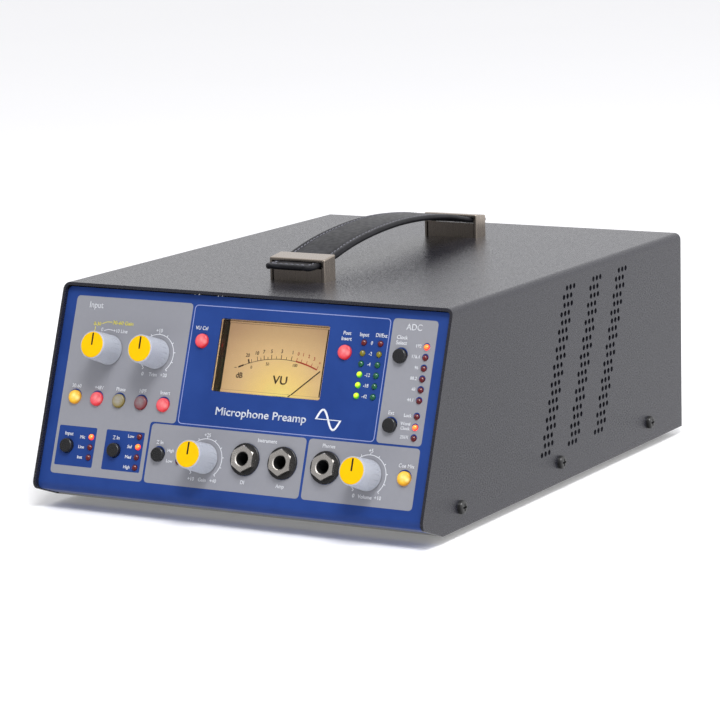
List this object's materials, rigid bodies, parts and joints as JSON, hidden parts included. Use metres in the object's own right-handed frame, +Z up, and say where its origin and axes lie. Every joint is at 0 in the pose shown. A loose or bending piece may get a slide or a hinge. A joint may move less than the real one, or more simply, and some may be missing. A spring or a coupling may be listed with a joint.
{
  "type": "microphone preamp",
  "caption": "Desktop microphone preamp: black sleeve case, sloping blue control panel with knobs, lit buttons, needle meter and jacks, leather strap handle.",
  "frame": {"origin": "on the floor, below the middle of the whole object", "axes": "+Z up, front panel faces -Y, +X to the right seen from the front"},
  "size_m": [0.2246, 0.306, 0.1289],
  "materials": {
    "black_powder_coat": "fine-texture semi-gloss powder coat",
    "blue_paint": "satin paint with printed legends",
    "zinc_plate": "zinc plated",
    "black_screws": "black oxide",
    "rubber": "matt",
    "black_leather": "stitched grained leather",
    "brushed_nickel": "brushed nickel",
    "grey_knob": "satin, fine flutes",
    "yellow_cap": "satin gloss",
    "shaft_steel": "turned",
    "dark_plastic": "moulded",
    "black_plastic": "satin gloss",
    "red_lens_lit": "lit diffusing lens",
    "red_lens": "unlit diffusing lens",
    "yellow_lens_lit": "lit diffusing lens",
    "yellow_lens": "unlit diffusing lens",
    "red_led": "tinted lens",
    "yellow_led": "tinted lens",
    "green_led": "tinted lens",
    "bright_nickel": "bright nickel plate",
    "satin_nickel": "satin nickel",
    "clear_plastic": "clear moulded case",
    "dial_paper": "printed dial, lit from below",
    "needle_black": "thin painted needle",
    "circuit_board": "solder mask",
    "capacitor_sleeve": "sleeved",
    "transformer_wrap": "tape wrapped",
    "transformer_can": "screening can",
    "ribbon": "flat cable"
  },
  "bodies": {
    "chassis": {"base_tray": "zinc_plate", "board_components": "capacitor_sleeve", "case_screws": "black_screws", "clock_sockets": "bright_nickel", "digital_card": "black_powder_coat", "feet": "rubber", "front_board": "circuit_board", "front_panel": "blue_paint", "gain_switch": "dark_plastic", "green_leds": "green_led", "handle_blocks": "brushed_nickel", "handle_caps": "brushed_nickel", "handle_strap": "black_leather", "inner_fasteners": "zinc_plate", "input_transformer": "transformer_can", "jack_collars": "black_plastic", "jack_sockets": "dark_plastic", "main_board": "circuit_board", "mains_inlet": "black_plastic", "mains_transformer": "transformer_wrap", "meter_case": "clear_plastic", "meter_dial": "dial_paper", "meter_movement": "dark_plastic", "mic_socket": "satin_nickel", "output_sockets": "satin_nickel", "panel_nuts": "bright_nickel", "potentiometers": "dark_plastic", "push_switches": "dark_plastic", "rear_panel": "black_powder_coat", "red_leds": "red_led", "ribbon_cable": "ribbon", "top_cover": "black_powder_coat", "yellow_leds": "yellow_led"},
    "gain_control": {"gain_knob": "grey_knob", "gain_knob_cap": "yellow_cap", "gain_shaft": "shaft_steel"},
    "trim_control": {"trim_knob": "grey_knob", "trim_knob_cap": "yellow_cap", "trim_shaft": "shaft_steel"},
    "instrument_control": {"instrument_knob": "grey_knob", "instrument_knob_cap": "yellow_cap", "instrument_shaft": "shaft_steel"},
    "volume_control": {"volume_knob": "grey_knob", "volume_knob_cap": "yellow_cap", "volume_shaft": "shaft_steel"},
    "line_key": {"line_button": "yellow_lens_lit"},
    "high_impedance_key": {"high_impedance_button": "red_lens_lit"},
    "phantom_key": {"phantom_button": "yellow_lens"},
    "phase_key": {"phase_button": "red_lens"},
    "high_pass_key": {"high_pass_button": "red_lens_lit"},
    "meter_calibrate_key": {"meter_calibrate_button": "red_lens_lit"},
    "insert_key": {"insert_button": "red_lens_lit"},
    "cue_mix_key": {"cue_mix_button": "yellow_lens_lit"},
    "source_key": {"source_button": "black_plastic"},
    "impedance_key": {"impedance_button": "black_plastic"},
    "direct_input_key": {"direct_input_button": "black_plastic"},
    "clock_key": {"clock_button": "black_plastic"},
    "external_clock_key": {"external_clock_button": "black_plastic"},
    "needle": {"meter_needle": "needle_black"},
    "rocker": {"power_rocker": "black_plastic"}
  },
  "joints": [
    {"name": "gain_turn", "type": "hinge", "parent": "chassis", "child": "gain_control", "pos_m": [-0.0784, -0.11955, 0.0779], "axis": [0, -0.9414, 0.3373], "range_deg": [-60, 60]},
    {"name": "trim_turn", "type": "hinge", "parent": "chassis", "child": "trim_control", "pos_m": [-0.0505, -0.11955, 0.0779], "axis": [0, -0.9414, 0.3373], "range_deg": [-150, 150]},
    {"name": "instrument_turn", "type": "hinge", "parent": "chassis", "child": "instrument_control", "pos_m": [-0.014, -0.13595, 0.03214], "axis": [0, -0.9414, 0.3373], "range_deg": [-150, 150]},
    {"name": "volume_turn", "type": "hinge", "parent": "chassis", "child": "volume_control", "pos_m": [0.0763, -0.13595, 0.03214], "axis": [0, -0.9414, 0.3373], "range_deg": [-150, 150]},
    {"name": "line_press", "type": "slide", "parent": "chassis", "child": "line_key", "axis": [0, 0.9414, -0.3373], "range_m": [0, 0.002], "stiffness_N_per_m": 200},
    {"name": "high_impedance_press", "type": "slide", "parent": "chassis", "child": "high_impedance_key", "axis": [0, 0.9414, -0.3373], "range_m": [0, 0.002], "stiffness_N_per_m": 200},
    {"name": "phantom_press", "type": "slide", "parent": "chassis", "child": "phantom_key", "axis": [0, 0.9414, -0.3373], "range_m": [0, 0.002], "stiffness_N_per_m": 200},
    {"name": "phase_press", "type": "slide", "parent": "chassis", "child": "phase_key", "axis": [0, 0.9414, -0.3373], "range_m": [0, 0.002], "stiffness_N_per_m": 200},
    {"name": "high_pass_press", "type": "slide", "parent": "chassis", "child": "high_pass_key", "axis": [0, 0.9414, -0.3373], "range_m": [0, 0.002], "stiffness_N_per_m": 200},
    {"name": "meter_calibrate_press", "type": "slide", "parent": "chassis", "child": "meter_calibrate_key", "axis": [0, 0.9414, -0.3373], "range_m": [0, 0.002], "stiffness_N_per_m": 200},
    {"name": "insert_press", "type": "slide", "parent": "chassis", "child": "insert_key", "axis": [0, 0.9414, -0.3373], "range_m": [0, 0.002], "stiffness_N_per_m": 200},
    {"name": "cue_mix_press", "type": "slide", "parent": "chassis", "child": "cue_mix_key", "axis": [0, 0.9414, -0.3373], "range_m": [0, 0.002], "stiffness_N_per_m": 200},
    {"name": "source_press", "type": "slide", "parent": "chassis", "child": "source_key", "axis": [0, 0.9414, -0.3373], "range_m": [0, 0.002], "stiffness_N_per_m": 200},
    {"name": "impedance_press", "type": "slide", "parent": "chassis", "child": "impedance_key", "axis": [0, 0.9414, -0.3373], "range_m": [0, 0.002], "stiffness_N_per_m": 200},
    {"name": "direct_input_press", "type": "slide", "parent": "chassis", "child": "direct_input_key", "axis": [0, 0.9414, -0.3373], "range_m": [0, 0.002], "stiffness_N_per_m": 200},
    {"name": "clock_press", "type": "slide", "parent": "chassis", "child": "clock_key", "axis": [0, 0.9414, -0.3373], "range_m": [0, 0.002], "stiffness_N_per_m": 200},
    {"name": "external_clock_press", "type": "slide", "parent": "chassis", "child": "external_clock_key", "axis": [0, 0.9414, -0.3373], "range_m": [0, 0.002], "stiffness_N_per_m": 200},
    {"name": "needle_swing", "type": "hinge", "parent": "chassis", "child": "needle", "pos_m": [0.01645, -0.11877, 0.05637], "axis": [0, -0.9414, 0.3373], "range_deg": [0, 98]},
    {"name": "power_rock", "type": "hinge", "parent": "chassis", "child": "rocker", "pos_m": [-0.082, 0.14204, 0.0525], "axis": [1, 0, 0], "range_deg": [0, 16]}
  ]
}
